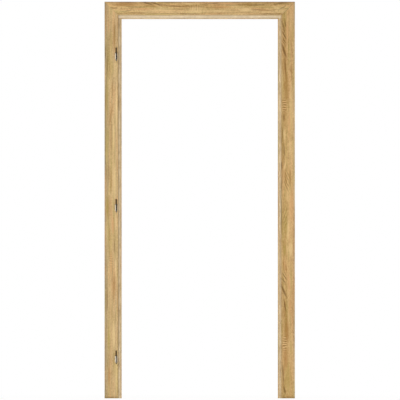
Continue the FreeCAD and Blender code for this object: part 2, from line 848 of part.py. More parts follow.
def bracket_screw_spots(side, on_upright):
    """X and Z of a bracket's two screws, in its upright or its level arm."""
    if on_upright:
        return [(x_at(side, BRACKET_LINE), z_at(along)) for along in BRACKET_SCREWS]
    return [(x_at(side, along), z_at(BRACKET_LINE)) for along in BRACKET_SCREWS]


def fit_bracket(body, side, on_upright):
    """Rout one rear casing board for a corner bracket and drill for its screws."""
    name = SIDE_NAMES[side]
    floor = plus(REAR_CASING_FACE, "bracket_steel")
    pocket(body, f"bracket_recess_{name}", "front", REAR_CASING_FACE, floor,
           bracket_outline(side, "bracket_play"))
    for index, (across, height) in enumerate(bracket_screw_spots(side, on_upright)):
        drill(body, f"bracket_screw_hole_{name}_{index}", (across, floor, height), (0, 1, 0),
              "(bracket_screw + 2 * screw_play)", "(bracket_screw_length - bracket_steel + screw_play)")


for side, side_name in SIDE_NAMES.items():
    rear_casing = new_body(f"rear_casing_{side_name}")
    pad(rear_casing, "board", "top", "0", z_at(REAR_CASING_OUTER), side_profile(side, REAR_CASING_SECTION))
    cut_side_mitre(rear_casing, side, REAR_CASING_OUTER, TONGUE_FRONT, REAR_CASING_BACK)
    fit_bracket(rear_casing, side, True)
    finish_piece(rear_casing)
rear_head = new_body("rear_casing_head")
pad(rear_head, "board", "side", x_at(HINGE_SIDE, REAR_CASING_OUTER), x_at(LOCK_SIDE, REAR_CASING_OUTER),
    head_profile(REAR_CASING_SECTION))
cut_head_mitres(rear_head, REAR_CASING_OUTER, TONGUE_FRONT, REAR_CASING_BACK)
for side in SIDE_NAMES:
    fit_bracket(rear_head, side, False)
finish_piece(rear_head)


# Screws


def make_screw(name, size, place, direction):
    """A countersunk wood screw with its head's face at a place, driven in a direction."""
    head = f"{size}_head"
    length = f"{size}_length"
    cone = f"(({head} - {size}) / 2)"
    body = turned(name, [
        ("0", "0"),
        (half(head), "0"),
        (half(size), cone),
        (half(size), minus(length, size)),
        ("0", length),
    ])
    set_place(body, place, direction)
    return body


def sink(body, name, size, place, direction, plate):
    """Drill and countersink a plate for a screw, from its face."""
    drill(body, f"{name}_hole", place, direction, plus(size, "2 * screw_play"), plate)
    bore(body, f"{name}_sink", place, direction, plus(f"{size}_head", "2 * screw_play"),
         plus(size, "2 * screw_play"), f"(({size}_head - {size}) / 2)")


# Corner brackets of the rear casing

bracket_screws = []
for side, side_name in SIDE_NAMES.items():
    bracket = new_body(f"rear_corner_bracket_{side_name}")
    pad(bracket, "plate", "front", REAR_CASING_FACE, plus(REAR_CASING_FACE, "bracket_steel"),
        bracket_outline(side, "0"))
    for on_upright in (True, False):
        arm = "upright" if on_upright else "level"
        for index, (across, height) in enumerate(bracket_screw_spots(side, on_upright)):
            spot = (across, REAR_CASING_FACE, height)
            sink(bracket, f"{arm}_{index}", "bracket_screw", spot, (0, 1, 0), "bracket_steel")
            bracket_screws.append(make_screw(
                f"bracket_screw_{side_name}_{arm}_{index}", "bracket_screw", spot, (0, 1, 0)))
    finish_piece(bracket)
finish_group("rear_bracket_screws", bracket_screws)


# Seal: a hollow bulb with a barbed stem, in three mitred lengths

SEAL_LOW = "(seal_offset - seal_width / 2)"
SEAL_HIGH = "(seal_offset + seal_width / 2)"
SEAL_CREST = "(stop_depth - seal_height)"


def seal_stem(sign):
    """One flank of the barbed stem, from the stop face to its tip."""
    flank = f"(seal_offset + {sign} * seal_stem / 2)"
    barb = f"(seal_offset + {sign} * (seal_stem / 2 + seal_barb))"
    first_barb = "(stop_depth + seal_barb_start)"
    return [
        (flank, "stop_depth"),
        (flank, first_barb),
        (barb, first_barb),
        (flank, plus(first_barb, "seal_barb_length")),
        (barb, plus(first_barb, "seal_barb_length", "seal_barb_gap")),
        (f"(seal_offset + {sign} * seal_tip / 2)", "(stop_depth + seal_stem_length)"),
    ]


SEAL_SKIN = [
    (SEAL_LOW, "stop_depth"),
    (SEAL_LOW, SEAL_CREST, "seal_round"),
    (SEAL_HIGH, SEAL_CREST, "seal_round"),
    (SEAL_HIGH, "stop_depth"),
] + seal_stem(1) + seal_stem(-1)[::-1]
SEAL_HOLLOW = [
    (plus(SEAL_LOW, "seal_wall"), "(stop_depth - seal_base)"),
    (plus(SEAL_LOW, "seal_wall"), plus(SEAL_CREST, "seal_wall"), "(seal_round - seal_wall)"),
    (minus(SEAL_HIGH, "seal_wall"), plus(SEAL_CREST, "seal_wall"), "(seal_round - seal_wall)"),
    (minus(SEAL_HIGH, "seal_wall"), "(stop_depth - seal_base)"),
]
SEAL_TIP = "(stop_depth + seal_stem_length)"
for side, side_name in SIDE_NAMES.items():
    seal = new_body(f"seal_{side_name}")
    pad(seal, "length", "top", "0", z_at(SEAL_HIGH), side_profile(side, SEAL_SKIN),
        side_profile(side, SEAL_HOLLOW))
    cut_side_mitre(seal, side, SEAL_HIGH, SEAL_CREST, SEAL_TIP)
    finish_piece(seal)
head_seal = new_body("seal_head")
pad(head_seal, "length", "side", x_at(HINGE_SIDE, SEAL_HIGH), x_at(LOCK_SIDE, SEAL_HIGH),
    head_profile(SEAL_SKIN), head_profile(SEAL_HOLLOW))
cut_head_mitres(head_seal, SEAL_HIGH, SEAL_CREST, SEAL_TIP)
finish_piece(head_seal)


# Hinges: each piece is drawn about the barrel's axis, from the barrel's foot up,
# with X towards the opening and Y towards the wall

PIN_BORE = "(pin_shank + 2 * pin_play)"
LUG_LOW = "(lug_inset - lug_thickness / 2)"
LUG_HIGH = "(lug_inset + lug_thickness / 2)"


def behind_axis(depth):
    """Y of a depth, counted from the barrel's axis."""
    return minus(depth, AXIS_DEPTH)


def make_knuckle(name):
    """Barrel and lug plate, forged in one."""
    body = turned(f"hinge_knuckle_{name}", [
        (half(PIN_BORE), "0"),
        ("barrel_diameter / 2 - barrel_chamfer", "0"),
        ("barrel_diameter / 2", "barrel_chamfer"),
        ("barrel_diameter / 2", "barrel_height - barrel_chamfer"),
        ("barrel_diameter / 2 - barrel_chamfer", "barrel_height"),
        (half(PIN_BORE), "barrel_height"),
    ])
    pad(body, "lug", "top", "0", "barrel_height", rectangle(
        LUG_LOW, LUG_HIGH, plus(half(PIN_BORE), "barrel_chamfer"), behind_axis("lug_reach")))
    return body


def make_pin(name):
    """The pin: its thicker shank sits in barrel and washer, and its free end is rounded."""
    shoulder = "(barrel_height + washer_thickness)"
    return turned(f"hinge_pin_{name}", [
        ("0", "0"),
        ("pin_shank / 2", "0"),
        ("pin_shank / 2", shoulder),
        ("pin_diameter / 2", shoulder),
        ("pin_diameter / 2", SLOT_TOP, "pin_tip"),
        ("0", SLOT_TOP),
    ])


def make_washer(name):
    return turned(f"hinge_washer_{name}", rectangle(
        half(PIN_BORE), "barrel_diameter / 2", "barrel_height", "(barrel_height + washer_thickness)"))


def make_pocket(name):
    """Steel pocket: a plate against the lining and a box that takes the lug."""
    body = new_body(f"hinge_pocket_{name}")
    plate = (plus(LUG_HIGH, "lug_play"), plus(LUG_HIGH, "lug_play", "pocket_steel"))
    bottom = minus(POCKET_MIDDLE, "pocket_height / 2")
    top = plus(POCKET_MIDDLE, "pocket_height / 2")
    front = behind_axis("slot_skin + recess_play")
    pad(body, "plate", "front", front, behind_axis("pocket_reach"), rectangle(*plate, bottom, top))
    outer = minus(LUG_LOW, "lug_play", "pocket_steel")
    room = plus("slot_below", "pocket_box_room")
    box_bottom = f"(-{room})"
    box_top = plus(SLOT_TOP, "pocket_box_room")
    back = behind_axis("pocket_box_reach")
    pad(body, "box", "front", front, back, rectangle(
        outer, plate[0], minus(box_bottom, "pocket_steel"), plus(box_top, "pocket_steel")))
    pocket(body, "inside", "front", front, minus(back, "pocket_steel"), rectangle(
        plus(outer, "pocket_steel"), plate[0], box_bottom, box_top))
    for index, rise in enumerate(CLAMP_RISES):
        drill(body, f"clamp_hole_{index}", (plate[1], behind_axis("clamp_screw_depth"), rise), (-1, 0, 0),
              "(clamp_screw + 2 * screw_play)", "pocket_steel")
    for index, (depth, rise) in enumerate(pocket_screw_spots()):
        sink(body, f"screw_{index}", "pocket_screw", (plate[0], behind_axis(depth), rise), (1, 0, 0),
             "pocket_steel")
    return body


def make_clamp_screw(name, place):
    """A grub screw with a hexagon socket, its tip against the lug."""
    body = turned(name, [
        ("0", "0"),
        ("clamp_screw_tip / 2", "0"),
        ("clamp_screw / 2", "(clamp_screw - clamp_screw_tip) / 2"),
        ("clamp_screw / 2", "clamp_screw_length"),
        ("0", "clamp_screw_length"),
    ])
    flat = "(clamp_socket / 2)"
    corner = "(clamp_socket / sqrt(3))"
    pocket(body, "socket", "top", "(clamp_screw_length - clamp_socket_depth)", "clamp_screw_length", [
        (flat, half(corner)),
        ("0", corner),
        (f"(-{flat})", half(corner)),
        (f"(-{flat})", f"(-{half(corner)})"),
        ("0", f"(-{corner})"),
        (flat, f"(-{half(corner)})"),
    ])
    set_place(body, place, (1, 0, 0))
    return body


pocket_screws = []
clamp_screws = []
for name in HINGES:
    foot = (x_at(HINGE_SIDE, HINGE_AXIS), AXIS_DEPTH, HINGE_BASES[name])
    for make in (make_knuckle, make_pin, make_washer, make_pocket):
        finish_piece(make(name), foot)
    plate_face = x_at(HINGE_SIDE, "(lining_thickness - pocket_inset + pocket_steel)")
    lug_face = x_at(HINGE_SIDE, "(lining_thickness - pocket_inset + pocket_steel + lug_play)")
    for index, (depth, rise) in enumerate(pocket_screw_spots()):
        pocket_screws.append(make_screw(f"pocket_screw_{name}_{index}", "pocket_screw",
                                        (plate_face, depth, above_hinge(name, rise)), (1, 0, 0)))
    for index, rise in enumerate(CLAMP_RISES):
        clamp_screws.append(make_clamp_screw(f"clamp_screw_{name}_{index}",
                                             (lug_face, "clamp_screw_depth", above_hinge(name, rise))))
finish_group("hinge_pocket_screws", pocket_screws)
finish_group("hinge_clamp_screws", clamp_screws)


# Strike plate, let into the lock side's rebate face

strike_plate = new_body("strike_plate")
pad(strike_plate, "plate", "side", x_at(LOCK_SIDE, "rebate_step"), x_at(LOCK_SIDE, "rebate_step + strike_steel"),
    strike_outline("0"), *[keep_outline(name, "0") for name in KEEPS])
strike_screws = []
for index, height in enumerate(STRIKE_SCREW_RISES):
    spot = (x_at(LOCK_SIDE, "rebate_step"), KEEP_DEPTH, height)
    sink(strike_plate, f"screw_{index}", "strike_screw", spot, (1, 0, 0), "strike_steel")
    strike_screws.append(make_screw(f"strike_screw_{index}", "strike_screw", spot, (1, 0, 0)))
finish_piece(strike_plate)
finish_group("strike_plate_screws", strike_screws)


# Check every object and write each piece

doc.recompute()
failed = [item.Name for item in doc.Objects if {"Invalid", "Error"} & set(item.State)]
failed += [item.Label for item in pieces if item.Shape.isNull() or not item.Shape.isValid()]
failed += [item.Name for item in cuts if item.Shape.Volume > item.BaseFeature.Shape.Volume - SAME_POINT]
if failed:
    raise RuntimeError(f"these objects failed or cut nothing: {failed}")
for piece in pieces:
    piece.Shape.exportStep(f"parts/{piece.Label}.step")
    print(f"{piece.Label}: {len(piece.Shape.Solids)} solids, {piece.Shape.Volume / 1000:.2f} cm3")
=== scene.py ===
import math

import bmesh
import bpy
from mathutils import Matrix, Vector


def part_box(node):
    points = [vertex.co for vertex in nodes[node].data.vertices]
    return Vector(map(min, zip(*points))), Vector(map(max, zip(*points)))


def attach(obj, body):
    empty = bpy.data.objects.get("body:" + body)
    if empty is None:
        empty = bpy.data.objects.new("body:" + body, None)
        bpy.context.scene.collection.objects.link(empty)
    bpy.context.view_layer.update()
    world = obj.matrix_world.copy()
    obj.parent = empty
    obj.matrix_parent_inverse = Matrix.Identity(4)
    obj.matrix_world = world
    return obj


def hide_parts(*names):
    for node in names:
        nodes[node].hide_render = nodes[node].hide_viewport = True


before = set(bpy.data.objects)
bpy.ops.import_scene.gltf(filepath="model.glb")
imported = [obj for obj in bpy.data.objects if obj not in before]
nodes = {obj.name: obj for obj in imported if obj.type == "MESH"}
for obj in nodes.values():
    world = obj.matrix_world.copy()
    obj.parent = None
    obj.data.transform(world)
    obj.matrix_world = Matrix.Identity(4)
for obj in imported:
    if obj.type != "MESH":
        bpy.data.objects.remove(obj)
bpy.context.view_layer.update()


# Front casings: three fibreboard mouldings, 70 by 22 mm, mitred at the corners and glued on loose tongues.
# They are wrapped in printed oak foil: matt, straight-grained, with soft streaks, short flecks and saw marks.
# A board's place is read in millimetres: outward from the clear opening, behind the casing's face, and along.
MM = 0.001
CLEAR_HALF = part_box("lining_lock_side")[0].x / MM
CLEAR_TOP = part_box("lining_head")[0].z / MM
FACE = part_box("front_casing_head")[0].y / MM


def linear(code):
    """The linear colour of an sRGB hex code."""
    parts = [int(code[i:i + 2], 16) / 255 for i in (1, 3, 5)]
    return [*(c / 12.92 if c <= 0.04045 else ((c + 0.055) / 1.055) ** 2.4 for c in parts), 1.0]


def new_material(name):
    """A material with an empty Principled surface, as its node tree and that surface."""
    material = bpy.data.materials.new(name)
    material.use_nodes = True
    return material, material.node_tree, material.node_tree.nodes["Principled BSDF"]


def add(tree, kind, inputs, stops=(), output=0, **settings):
    """Adds one node with its settings, fills or links its inputs, and gives back one output. Sockets go by
    their names, or by number where several share a name, and stops are a colour ramp's."""
    made = tree.nodes.new(kind)
    for name, value in settings.items():
        setattr(made, name, value)
    for index, (position, code) in enumerate(stops):
        ramp = made.color_ramp.elements
        stop = ramp[index] if index < 2 else ramp.new(position)
        stop.position, stop.color = position, linear(code)
    for socket, value in inputs.items():
        if isinstance(value, bpy.types.NodeSocket):
            tree.links.new(value, made.inputs[socket])
        else:
            made.inputs[socket].default_value = value
    return made.outputs[output]


def board_place(tree, board):
    """Millimetres outward, behind the face and along the board, and how far the mitre lies ahead."""
    place = add(tree, "ShaderNodeTexCoord", {}, output="Object")
    x, y, z = add(tree, "ShaderNodeSeparateXYZ", {"Vector": place}).node.outputs
    side = add(tree, "ShaderNodeMath", {0: x}, operation="ABSOLUTE")
    from_side = add(tree, "ShaderNodeMath", {0: side, 1: 1 / MM, 2: -CLEAR_HALF}, operation="MULTIPLY_ADD")
    from_head = add(tree, "ShaderNodeMath", {0: z, 1: 1 / MM, 2: -CLEAR_TOP}, operation="MULTIPLY_ADD")
    depth = add(tree, "ShaderNodeMath", {0: y, 1: 1 / MM, 2: -FACE}, operation="MULTIPLY_ADD")
    along = add(tree, "ShaderNodeMath", {0: x if board == "head" else z, 1: 1 / MM}, operation="MULTIPLY")
    outward, ahead = (from_head, from_side) if board == "head" else (from_side, from_head)
    mitre = add(tree, "ShaderNodeMath", {0: outward, 1: ahead}, operation="SUBTRACT")
    return outward, depth, along, mitre


def spot_mask(tree, flat, outward, along, half_width, half_length, slant):
    """1 in the middle of an oval spot of the board and 0 outside it, soft between. slant is in degrees."""
    local = add(tree, "ShaderNodeMapping",
                {"Vector": flat, "Location": (outward, along, 0), "Rotation": (0, 0, math.radians(slant)),
                 "Scale": (half_width, half_length, 1)}, vector_type="TEXTURE")
    away = add(tree, "ShaderNodeVectorMath", {0: local}, output="Value", operation="LENGTH")
    return add(tree, "ShaderNodeMapRange", {"Value": away, "From Min": 1.1, "From Max": 0.35},
               interpolation_type="SMOOTHSTEP")


def oak_marks(tree, flat, colour, marks, seed):
    """The colour with single marks of the print laid over it, and a dark band across a side casing's foot
    that is painted shade. marks gives, for each kind, a list of (outward, along, half width, half length,
    slant, share), in millimetres and degrees."""
    # Patches and streaks of one tone.
    for kind, tone in (("rosy", "#D49A68"), ("olive", "#A89446"), ("pale", "#EACD94"), ("brown", "#9A6C2C"),
                       ("dark", "#5C3A02")):
        for *oval, most in marks.get(kind, ()):
            share = add(tree, "ShaderNodeMath", {0: spot_mask(tree, flat, *oval), 1: most},
                        operation="MULTIPLY")
            colour = add(tree, "ShaderNodeMix", {"Factor": share, "A": colour, "B": linear(tone)},
                         output="Result", data_type="RGBA")

    # Rays of the cut show as slanted flecks 11 mm apart, and saw marks cross the grain 12 mm apart. Real ones
    # are 2 to 4 mm apart and would be too fine to show.
    wave_step = 0.314  # how far apart a wave texture's bands lie at scale 1
    for kind, turn, spacing, dark_tone, pale_tone in (
        ("flecks", 0, 11, "#66471A", "#DDB97E"),
        ("sawn", 90, 12, "#86602C", "#E4BE88"),
    ):
        for *oval, slant, most in marks.get(kind, ()):
            band_place = add(tree, "ShaderNodeMapping",
                             {"Vector": flat, "Location": (seed, seed, 0),
                              "Rotation": (0, 0, math.radians(turn + slant))}, vector_type="TEXTURE")
            bands = add(tree, "ShaderNodeTexWave",
                        {"Vector": band_place, "Scale": wave_step / spacing, "Distortion": 3.5, "Detail": 2.0,
                         "Detail Scale": 1.6}, output="Fac")
            mask = spot_mask(tree, flat, *oval, 0)
            for start, full, tone in ((0.45, 0.10, dark_tone), (0.60, 0.95, pale_tone)):
                share = add(tree, "ShaderNodeMapRange",
                            {"Value": bands, "From Min": start, "From Max": full, "To Max": most})
                share = add(tree, "ShaderNodeMath", {0: share, 1: mask}, operation="MULTIPLY")
                colour = add(tree, "ShaderNodeMix", {"Factor": share, "A": colour, "B": linear(tone)},
                             output="Result", data_type="RGBA")
    return colour


def board_core(tree, place, core):
    """The colour of a board's core: fibreboard, or particleboard with chips of 2 by 5 mm. The fibreboard's
    tufts of fibre, 1.5 by 3 mm, are coarser than real ones, so that they show."""
    if core == "fibreboard":
        fibre_place = add(tree, "ShaderNodeMapping", {"Vector": place, "Scale": (1 / 1.5, 1 / 1.5, 1 / 3)})
        fibres = add(tree, "ShaderNodeTexNoise",
                     {"Vector": fibre_place, "Scale": 1.0, "Detail": 4.0, "Roughness": 0.7})
        return add(tree, "ShaderNodeValToRGB", {"Fac": fibres}, stops=[(0.35, "#A5835A"), (0.65, "#C2A176")])
    chip_place = add(tree, "ShaderNodeMapping", {"Vector": place, "Scale": (1 / 2.4, 1 / 2.4, 1 / 5)})
    chips = add(tree, "ShaderNodeTexVoronoi", {"Vector": chip_place, "Scale": 1.0}, output="Color",
                feature="F1")
    tint = add(tree, "ShaderNodeSeparateColor", {"Color": chips}, output="Red")
    return add(tree, "ShaderNodeValToRGB", {"Fac": tint},
               stops=[(0.0, "#9C7A50"), (1.0, "#D6B98C"), (0.3, "#B8966A"), (0.7, "#C7A87B")])


def oak_foil(name, board, tones, wrapped, core, seed, strength=1.0, marks=None, joints=(0.2, 0.2)):
    """Printed oak foil round a board, which is a "side" or the "head".

    tones are (millimetres outward, colour). wrapped are the faces that the foil covers, as (outward or depth,
    where, sign of inwards), and core shows deeper than those. seed moves the patterns, so that no two boards
    are alike, strength is the grain's, and marks are as oak_marks takes them. joints are the strengths of the
    mitre's hairline on the left and the right half of the head, or twice the same for a side.
    """
    material, tree, surface = new_material(name)
    outward, depth, along, mitre = board_place(tree, board)
    place = add(tree, "ShaderNodeCombineXYZ", {"X": outward, "Y": depth, "Z": along})
    flat = add(tree, "ShaderNodeCombineXYZ", {"X": outward, "Y": along})

    # The foil's ground: its tone drifts across the board. On the front casings the tones at the rounded edges
    # are painted shade and painted highlight.
    first, last = tones[0][0], tones[-1][0]
    share = add(tree, "ShaderNodeMapRange", {"Value": outward, "From Min": first, "From Max": last})
    colour = add(tree, "ShaderNodeValToRGB", {"Fac": share},
                 stops=[((u - first) / (last - first), code) for u, code in tones])

    # Olive and rosy streaks 16 mm wide, as oak heartwood has them.
    tint_place = add(tree, "ShaderNodeMapping",
                     {"Vector": place, "Location": (seed, 0, -seed), "Scale": (1 / 16, 1 / 16, 1 / 230)})
    tint = add(tree, "ShaderNodeTexNoise", {"Vector": tint_place, "Scale": 1.0, "Detail": 2.0})

    # Growth lines about 8 mm apart, with finer ones of 3 mm. They follow a slow drift of 60 mm by half a
    # metre. Real ones are 1 to 3 mm apart and would be too fine to show.
    drift_place = add(tree, "ShaderNodeMapping",
                      {"Vector": place, "Location": (seed, seed, seed), "Scale": (1 / 60, 1 / 60, 1 / 480)})
    drift = add(tree, "ShaderNodeTexNoise", {"Vector": drift_place, "Scale": 1.0, "Detail": 3.0})
    moved = add(tree, "ShaderNodeMath", {0: drift, 1: 40.0, 2: outward}, operation="MULTIPLY_ADD")
    followed = add(tree, "ShaderNodeCombineXYZ", {"X": moved, "Y": depth, "Z": along})
    line_place = add(tree, "ShaderNodeMapping",
                     {"Vector": followed, "Location": (seed, seed, seed), "Scale": (1 / 8, 1 / 8, 1 / 260)})
    lines = add(tree, "ShaderNodeTexNoise",
                {"Vector": line_place, "Scale": 1.0, "Detail": 4.0, "Roughness": 0.62})
    hair_place = add(tree, "ShaderNodeMapping",
                     {"Vector": followed, "Location": (-seed, seed, seed), "Scale": (1 / 3, 1 / 3, 1 / 60)})
    hairs = add(tree, "ShaderNodeTexNoise",
                {"Vector": hair_place, "Scale": 1.0, "Detail": 3.0, "Roughness": 0.6})
    grain = add(tree, "ShaderNodeMath", {0: hairs, 1: 0.45, 2: lines}, operation="MULTIPLY_ADD")

    # Between them the print is mottled, in patches 5 mm wide and 9 mm long.
    mottle_place = add(tree, "ShaderNodeMapping",
                       {"Vector": followed, "Location": (seed, seed, -seed), "Scale": (1 / 5, 1 / 5, 1 / 9)})
    mottle = add(tree, "ShaderNodeTexNoise",
                 {"Vector": mottle_place, "Scale": 1.0, "Detail": 3.0, "Roughness": 0.65})

    # Pores: dark dashes about 1 mm wide and 16 mm long. Real ones, 0.3 mm wide, would be too fine to show.
    pore_place = add(tree, "ShaderNodeMapping",
                     {"Vector": followed, "Location": (seed, -seed, seed),
                      "Scale": (1 / 1.1, 1 / 1.1, 1 / 16)})
    pores = add(tree, "ShaderNodeTexNoise", {"Vector": pore_place, "Scale": 1.0, "Detail": 1.0})

    # Each pattern tones the print, by nothing at its start level and by the most at its full level. The pores
    # come last, and their share is used again for the relief.
    for pattern, start, full, most, tone in (
        (tint, 0.50, 0.36, 0.55, "#B09A56"),
        (tint, 0.52, 0.66, 0.50, "#D3A270"),
        (grain, 0.72, 0.52, 0.55 * strength, "#8C6A30"),
        (grain, 0.72, 0.94, 0.55 * strength, "#E6C88C"),
        (mottle, 0.50, 0.32, 0.48 * strength, "#9A7436"),
        (mottle, 0.50, 0.68, 0.48 * strength, "#E2C389"),
        (pores, 0.60, 0.74, 0.45, "#82602E"),
    ):
        share = add(tree, "ShaderNodeMapRange",
                    {"Value": pattern, "From Min": start, "From Max": full, "To Max": most})
        colour = add(tree, "ShaderNodeMix", {"Factor": share, "A": colour, "B": linear(tone)},
                     output="Result", data_type="RGBA")
    pore_share = share
    colour = oak_marks(tree, flat, colour, marks or {}, seed)

    # The hairline of the mitre, drawn 2 mm wide so that it shows.
    off_joint = add(tree, "ShaderNodeMath", {0: mitre}, operation="ABSOLUTE")
    on_joint = add(tree, "ShaderNodeMapRange", {"Value": off_joint, "From Min": 2.4, "From Max": 0.4})
    weight = add(tree, "ShaderNodeMapRange", {"Value": along, "From Min": -1.0, "From Max": 1.0,
                                              "To Min": joints[0], "To Max": joints[1]})
    joint_share = add(tree, "ShaderNodeMath", {0: on_joint, 1: weight}, operation="MULTIPLY")
    colour = add(tree, "ShaderNodeMix", {"Factor": joint_share, "A": colour, "B": linear("#6E5130")},
                 output="Result", data_type="RGBA")

    # Under the foil the sawn or routed board shows, from 1.2 mm inside the faces, so that rounded edges keep
    # their foil.
    inside = None
    for which, where, sign in wrapped:
        away = add(tree, "ShaderNodeMath", {0: {"outward": outward, "depth": depth}[which], 1: sign,
                                            2: -sign * where}, operation="MULTIPLY_ADD")
        if inside is not None:
            away = add(tree, "ShaderNodeMath", {0: inside, 1: away}, operation="MINIMUM")
        inside = away
    bare = add(tree, "ShaderNodeMapRange", {"Value": inside, "From Min": 1.2, "From Max": 1.5})
    raw = board_core(tree, place, core)
    colour = add(tree, "ShaderNodeMix", {"Factor": bare, "A": colour, "B": raw}, output="Result",
                 data_type="RGBA")
    tree.links.new(colour, surface.inputs["Base Color"])

    # The foil is matt with embossed pores, and the bare board is duller still.
    rough = add(tree, "ShaderNodeMapRange",
                {"Value": pores, "From Min": 0.35, "From Max": 0.70, "To Min": 0.46, "To Max": 0.60})
    dull = add(tree, "ShaderNodeMath", {0: bare, 1: 0.35, 2: rough}, operation="MULTIPLY_ADD")
    tree.links.new(dull, surface.inputs["Roughness"])
    relief = add(tree, "ShaderNodeMath", {0: pore_share, 1: -1.0, 2: lines}, operation="MULTIPLY_ADD")
    bump = add(tree, "ShaderNodeBump", {"Strength": 0.25, "Distance": 0.4 * MM, "Height": relief})
    tree.links.new(bump, surface.inputs["Normal"])
    surface.inputs["Specular IOR Level"].default_value = 0.35
    return material


def dress(material, *names):
    """Gives the named CAD nodes one material."""
    for name in names:
        mesh = nodes[name].data
        mesh.materials.clear()
        mesh.materials.append(material)


CASING_INNER, CASING_OUTER = (corner.x / MM - CLEAR_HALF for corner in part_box("front_casing_lock_side"))
CASING_WRAP = [("depth", 0, 1), ("outward", CASING_INNER, 1), ("outward", CASING_OUTER, -1)]
dress(oak_foil(
    "oak_foil_casing_hinge_side", "side",
    # The darker tones from 76 mm outward are painted shade on the rounded outer edge.
    [(18, "#CBAE7B"), (22, "#CFB182"), (28, "#C3A87E"), (40, "#CBAD7E"), (60, "#C4A778"), (76, "#B09A74"),
     (83, "#92866C"), (88, "#8C7854")],
    CASING_WRAP, "fibreboard", 3.1, 0.9, joints=(0.15, 0.15),
    marks={
        "brown": [(37, 1880, 8, 100, 0, 0.60), (48, 1600, 5, 60, 0, 0.45), (56, 1465, 6, 70, 9, 0.50),
                  (54, 1125, 5, 75, 0, 0.45), (40, 560, 5, 90, 0, 0.45), (50, 440, 3, 60, 0, 0.40),
                  (54, 1330, 4, 80, 0, 0.35), (60, 850, 4, 60, 0, 0.40), (14, 310, 5, 90, 0, 0.40),
                  (20, 500, 4, 110, 0, 0.40), (60, 1700, 4, 60, 0, 0.40), (66, 120, 6, 60, 0, 0.35),
                  (68, 990, 16, 85, 0, 0.24), (34, 600, 14, 75, 0, 0.20)],
        "dark": [(34, 1900, 3, 60, 0, 0.30), (72, 1740, 4, 75, 0, 0.40), (82, 1805, 5, 40, 0, 0.40),
                 (66, 1160, 3, 65, 0, 0.35), (77, 1170, 3, 60, 0, 0.30), (38, 785, 4, 42, 0, 0.45),
                 (73, 505, 3, 60, 0, 0.40), (84, 1560, 3, 80, 0, 0.30), (36, 610, 3, 40, 0, 0.30),
                 # The dark mark across the foot is painted shade where the casing stands on the floor.
                 (53, -3, 60, 17, 0, 0.45)],
        "rosy": [(68, 1925, 5, 40, 0, 0.35), (44, 895, 9, 58, 0, 0.40), (54, 700, 8, 85, 0, 0.40),
                 (64, 115, 7, 60, 0, 0.30)],
        "olive": [(77, 1540, 8, 130, 0, 0.40), (74, 1330, 9, 110, 0, 0.40), (66, 300, 7, 62, 0, 0.45),
                  (74, 1000, 10, 70, 0, 0.40), (52, 1850, 5, 60, 0, 0.30)],
        "pale": [(26, 1520, 7, 150, 0, 0.60), (30, 1710, 9, 60, 0, 0.30), (36, 1125, 12, 110, 0, 0.42),
                 (40, 330, 10, 90, 0, 0.50), (40, 1360, 7, 100, 0, 0.45), (30, 660, 5, 80, 0, 0.35),
                 (58, 1800, 4, 60, 0, 0.30), (28, 120, 8, 110, 0, 0.40), (30, 920, 6, 60, 0, 0.40)],
        "sawn": [(54, 715, 12, 42, 0, 0.30)],
    },
), "front_casing_hinge_side")
